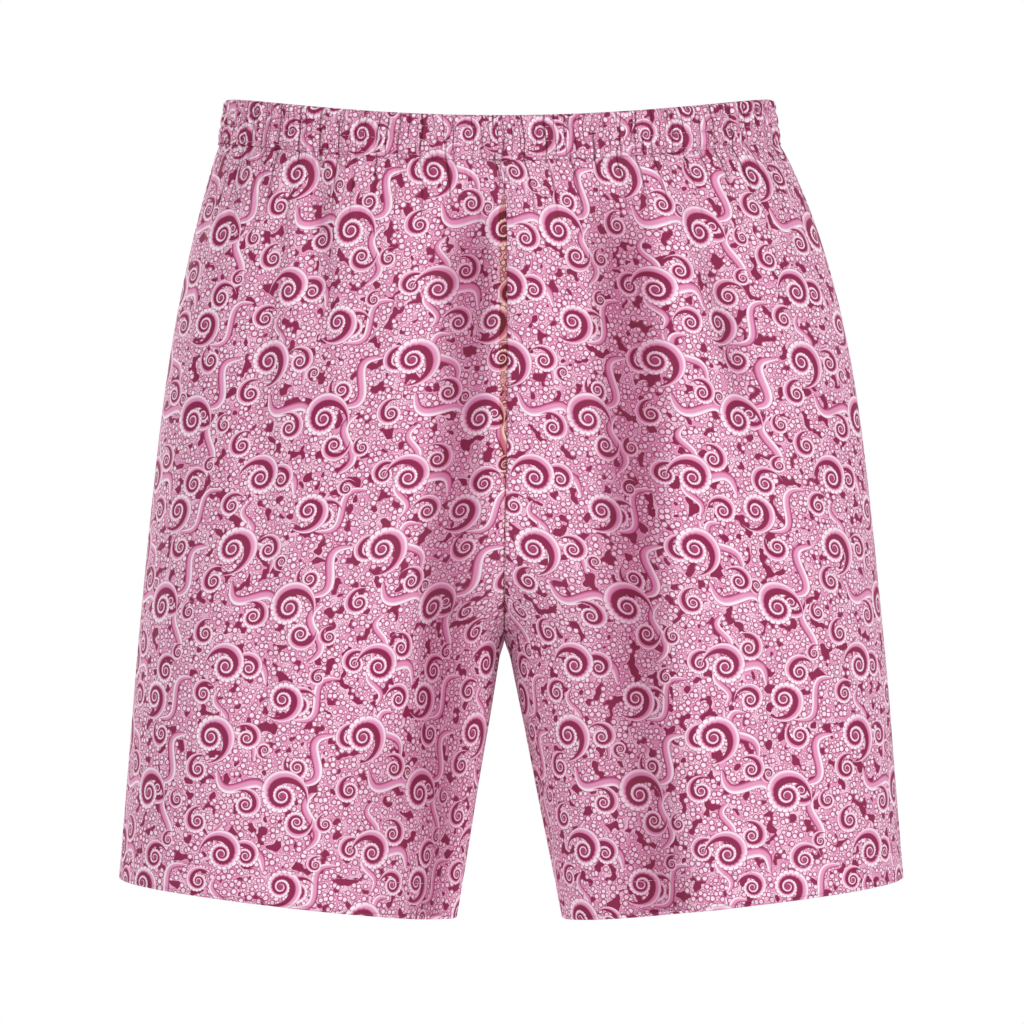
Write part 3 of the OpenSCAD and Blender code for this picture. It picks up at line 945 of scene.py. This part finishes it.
def stitches(name, body, path, raised):
    """A row of lockstitches: each a short twisted strand whose ends dip into the cloth. path and
    raised give a closed path on the cloth and the same path off it, each in stretches."""
    loop = np.concatenate([*path, path[0][:1]])
    ways = np.concatenate([*raised, raised[0][:1]]) - loop
    run = run_along(np.linalg.norm(np.diff(loop, axis=0), axis=1))
    count = int(run[-1] / (STITCH_LENGTH + STITCH_SPACE))
    pitch = run[-1] / count
    at = (np.arange(count)[:, None] * pitch + STITCH_SHARES * STITCH_LENGTH).ravel()

    def pick(rows, places):
        return np.stack([np.interp(places, run, rows[:, k]) for k in range(3)], axis=1)

    centre, up = pick(loop, at), pick(ways, at)
    ahead = pick(loop, at + 0.3) - centre
    ahead[-1] = ahead[-2]
    cross = np.cross(up, ahead)
    cross /= np.linalg.norm(cross, axis=1, keepdims=True)
    up /= np.linalg.norm(up, axis=1, keepdims=True)
    centre = centre + up * np.tile(STITCH_LIFT, count)[:, None]
    sides = STRAND_SIDES
    spokes = np.arange(sides) * 2 * np.pi / sides
    ring = centre[:, None] + np.tile(STITCH_THICK * STITCH_RADIUS, count)[:, None, None] * (
        cross[:, None] * np.cos(spokes)[None, :, None] + up[:, None] * np.sin(spokes)[None, :, None])
    points = ring.reshape(-1, 3)
    last = (len(STITCH_SHARES) - 1) * sides
    first = np.arange(count) * (last + sides)
    base = first[:, None, None] + np.arange(0, last, sides)[None, :, None]
    k = np.arange(sides)[None, None]
    k1 = (k + 1) % sides
    walls = np.stack([base + k, base + k1, base + sides + k1, base + sides + k], axis=-1).reshape(-1, 4)
    ends = []
    for end, way in ((0, -1), (last, 1)):
        for corner in (0, 3):
            quad = (corner + np.arange(4)[::way]) % sides
            ends.append((first + end)[:, None] + quad[None])
    faces = np.concatenate([walls] + ends)
    uv = np.stack([np.repeat(at, sides), np.tile(spokes * STITCH_RADIUS, len(at))], axis=-1)[faces]
    piece = mesh_object(name + "_thread", points, faces, uv, np.zeros(len(faces)), [THREAD])
    ride(piece, body, "thread", name)


def waist_stitching(name, share):
    path, raised = [], []
    for side, face, phi, _ in waist_columns(WAIST_COLUMNS):
        out = band_out(round_waist(side, face, phi), share)
        path.append(surface(side, face, phi, TOP + share, out + 0.12))
        raised.append(surface(side, face, phi, TOP + share, out + 2.0))
    stitches(name, "seat", path, raised)


def leg_columns(per_half):
    """Face and phi of columns right round a leg."""
    p = (np.arange(per_half) + 0.5) * np.pi / per_half
    return ((FRONT, p), (BACK, p[::-1]))


def hem_stitching(side_name):
    v = HEM - (HEM_H - 2.0) / LEG_MEAN
    path, raised = [], []
    for face, phi in leg_columns(HEM_STITCH_COLUMNS):
        path.append(cloth(SIDES[side_name], face, phi, v, -0.1))
        raised.append(cloth(SIDES[side_name], face, phi, v, -2.0))
    stitches(f"{side_name}_hem_stitching", side_name + "_leg", path, raised)


def hem_rows(radius):
    """The rows of the hem, round the roll with this radius and up inside the leg: their levels,
    their depths inside the cloth's outer face and how far each lies over the seam allowances."""
    turn = np.linspace(0.0, np.pi, 9)
    rise = np.linspace(0.0, HEM_H - ROLL, 13)[1:]
    down = np.concatenate([[GAP - HEM_JOIN], np.sin(turn) * radius, -rise])
    depth = ROLL - radius * np.concatenate([[1.0], np.cos(turn), rise * 0 - 1.0])
    over = np.concatenate([[0.0], turn * 0, ease(rise / 4.0)])
    return HEM + (down - ROLL) / LEG_MEAN, depth, over


def hem_turning(side_name):
    """The cloth that rolls under at the hem and runs back up inside the leg."""
    side = SIDES[side_name]
    levels, printed, over = hem_rows(ROLL)
    level_in, reverse, _ = hem_rows(ROLL - CLOTH)
    run = run_along(np.hypot(np.diff(levels) * LEG_MEAN, np.diff(printed)))
    outer, inner, uvs, nexts = [], [], [], []
    for face, phi in leg_columns(HEM_COLUMNS):
        from_side, from_rise = from_seams(face, phi, levels[:, None])
        seam = np.exp(-((from_side / 7.5) ** 4)) + np.exp(-((from_rise / 7.5) ** 4))
        bulk = seam * over[:, None] * (ALLOWANCE + 2 * LAY)
        outer.append(cloth(side, face, phi, levels[:, None], printed[:, None] + bulk))
        inner.append(cloth(side, face, phi, level_in[:, None], reverse[:, None] + bulk))
        arc = arc_from_side(face, phi[None], phi[None] * 0 + HEM)[0]
        step = np.gradient(arc)
        up = height(phi, phi * 0 + levels[0], face)
        for store, a in ((uvs, arc), (nexts, arc + step)):
            store.append(print_places(side, face, a, up - run[:, None]))
    outer, inner, uv, uv_next = (np.concatenate(grids, axis=1) for grids in (outer, inner, uvs, nexts))
    piece = sheet_piece(f"{side_name}_hem_cloth", outer, inner, uv, [PRINTED, REVERSE_SIDE], uv_next)
    ride(piece, side_name + "_leg", "hem_cloth", f"{side_name}_hem_turning")


def strip(name, half, keys, levels):
    """A seam allowance: a strip inside the cloth. half(key, w, v, depth) gives its points at the
    distance w from the seam, on the cloth of the first key for w > 0 and of the second for w < 0."""
    v, w = np.meshgrid(levels, np.linspace(-SEAM_HALF, SEAM_HALF, SEAM_COLUMNS), indexing="ij")
    ripple = 0.12 * np.abs(np.sin(v * 170.0 * np.pi / 2.2)) * (np.abs(w) > 1.4)
    top = CLOTH + LAY

    def points(depth):
        first, second = (half(key, np.abs(w), v, depth) for key in keys)
        return np.where((w > 0)[..., None], first, second)

    uv = np.stack([w, v * LEVEL_LENGTH], axis=-1)
    outer = points(top + ALLOWANCE + ripple)
    return sheet_piece(name + "_allowance", outer, points(top), uv, [OVERLOCKED, OVERLOCKED])


def side_seam(side_name):
    def half(face, w, v, depth):
        return cloth(SIDES[side_name], face, w / depth_at(0.0, v, face), v, depth)

    name = f"{side_name}_side_seam"
    levels = np.concatenate([np.linspace(0.012, 1.0, 200)[:-1], np.linspace(1.0, 1.985, 105)])
    piece = strip(name, half, (FRONT, BACK), levels)
    hang(piece, side_name, "seam_allowance", *bending(name))


def inseam(side_name):
    def half(face, w, v, depth):
        return cloth(SIDES[side_name], face, np.pi - w / depth_at(np.pi, v, face), v, depth)

    name = f"{side_name}_inseam"
    piece = strip(name, half, (FRONT, BACK), np.linspace(1.025, 1.985, 110))
    hang(piece, side_name, "seam_allowance", f"{name}_bend", f"{name}_leg")


def rise_seam(face_name):
    face = FACES[face_name]

    def half(side, w, v, depth):
        late = np.clip((v - 0.8) / 0.2, 0.0, 1.0)
        outline = outline_height(0.0, v, face)
        back_off = w / mix(half_width(outline), half_depth(outline, face), late)
        return cloth(side, face, last_phi(v) - back_off, v, depth)

    name = f"{face_name}_rise_seam"
    piece = strip(name, half, (LEFT, RIGHT), np.linspace(0.012, 0.985, 215))
    ride(piece, "seat", "seam_allowance", name)


for face_name in FACES:
    for side_name in SIDES:
        panel(face_name, side_name)
    rise_seam(face_name)
for side_name in SIDES:
    side_seam(side_name)
    inseam(side_name)
    hem_turning(side_name)
    hem_stitching(side_name)
casing()
for row, share in zip(("upper", "middle", "lower"), STITCH_ROWS):
    waist_stitching(f"waist_stitching_{row}", share)

# The elastic keeps its CAD mesh and only gets its material
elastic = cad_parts["waist_elastic"]
elastic.data.materials.clear()
elastic.data.materials.append(ELASTIC)

# ---------------------------------------------------------------- floor, light and camera


def floor_material():
    material, net = new_material("studio_floor")
    coords = net.node("TexCoord")
    mottle = net.noise(coords.outputs["Object"], 3.0, 3.0)
    net.shade(Base_Color=net.blend(mottle * 0.4, (0.9,) * 3, (0.86,) * 3),
              Roughness=net.range(mottle, 0.7, 0.85))
    return material


def floor(radius, z):
    """A round floor, so that no corner shows."""
    count = 96
    turns = [2 * math.pi * k / count for k in range(count)]
    points = [(0.0, 0.0, z)] + [(radius * math.cos(a), radius * math.sin(a), z) for a in turns]
    faces = [(0, k + 1, (k + 1) % count + 1) for k in range(count)]
    mesh = bpy.data.meshes.new("floor")
    mesh.from_pydata(points, [], faces)
    mesh.materials.append(floor_material())
    piece = add_object("floor", mesh)


def area_light(name, place, target, size, watts):
    light = bpy.data.lights.new(name, "AREA")
    light.size = size
    light.energy = watts
    lamp = add_object(name, light)
    lamp.location = place
    lamp.rotation_euler = (Vector(target) - Vector(place)).to_track_quat("-Z", "Y").to_euler()


ROOM_LIGHT = 0.34  # the white room lights the cloth less than it shows, so that the folds read
FLOOR_RADIUS, FLOOR_Z = 2.3, -1.0
MIDDLE = (0.0, 0.0, -0.25)  # of the shorts, where the lamps point
LAMPS = (  # name, place for the back, size and watts. The front has the same, turned round.
    ("key", (-2.3, 2.3, 0.6), 0.9, 45.0),
    ("fill", (2.3, 2.3, 1.4), 1.1, 36.0),
    ("soft", (0.0, 3.6, 0.6), 1.2, 25.0),
)
PLANE_WIDTH = 0.676  # what the picture spans at the shorts' middle
CAMERA = (0.0083, -3.2, -0.2574)

scene = bpy.context.scene
floor(FLOOR_RADIUS, FLOOR_Z)
world = bpy.data.worlds.new("studio")
world.use_nodes = True
sky = Net(world.node_tree)
background = world.node_tree.nodes["Background"]
background.inputs["Color"].default_value = (1.0, 1.0, 1.0, 1.0)
seen = Val(sky, sky.node("LightPath").outputs["Is Camera Ray"])
sky.put(background.inputs["Strength"], sky.range(seen, ROOM_LIGHT, 1.0))
scene.world = world
scene.view_settings.view_transform = "Standard"
for facing, name in ((-1, "front"), (1, "back")):
    for lamp, (x, y, z), size, watts in LAMPS:
        area_light(f"{name}_{lamp}", (facing * x, facing * y, z), MIDDLE, size, watts)

camera_data = bpy.data.cameras.new("camera")
camera_data.sensor_width = 36.0
camera_data.lens = -camera_data.sensor_width * CAMERA[1] / PLANE_WIDTH
camera = add_object("camera", camera_data)
camera.location = CAMERA
camera.rotation_euler = (math.pi / 2, 0.0, 0.0)
scene.camera = camera
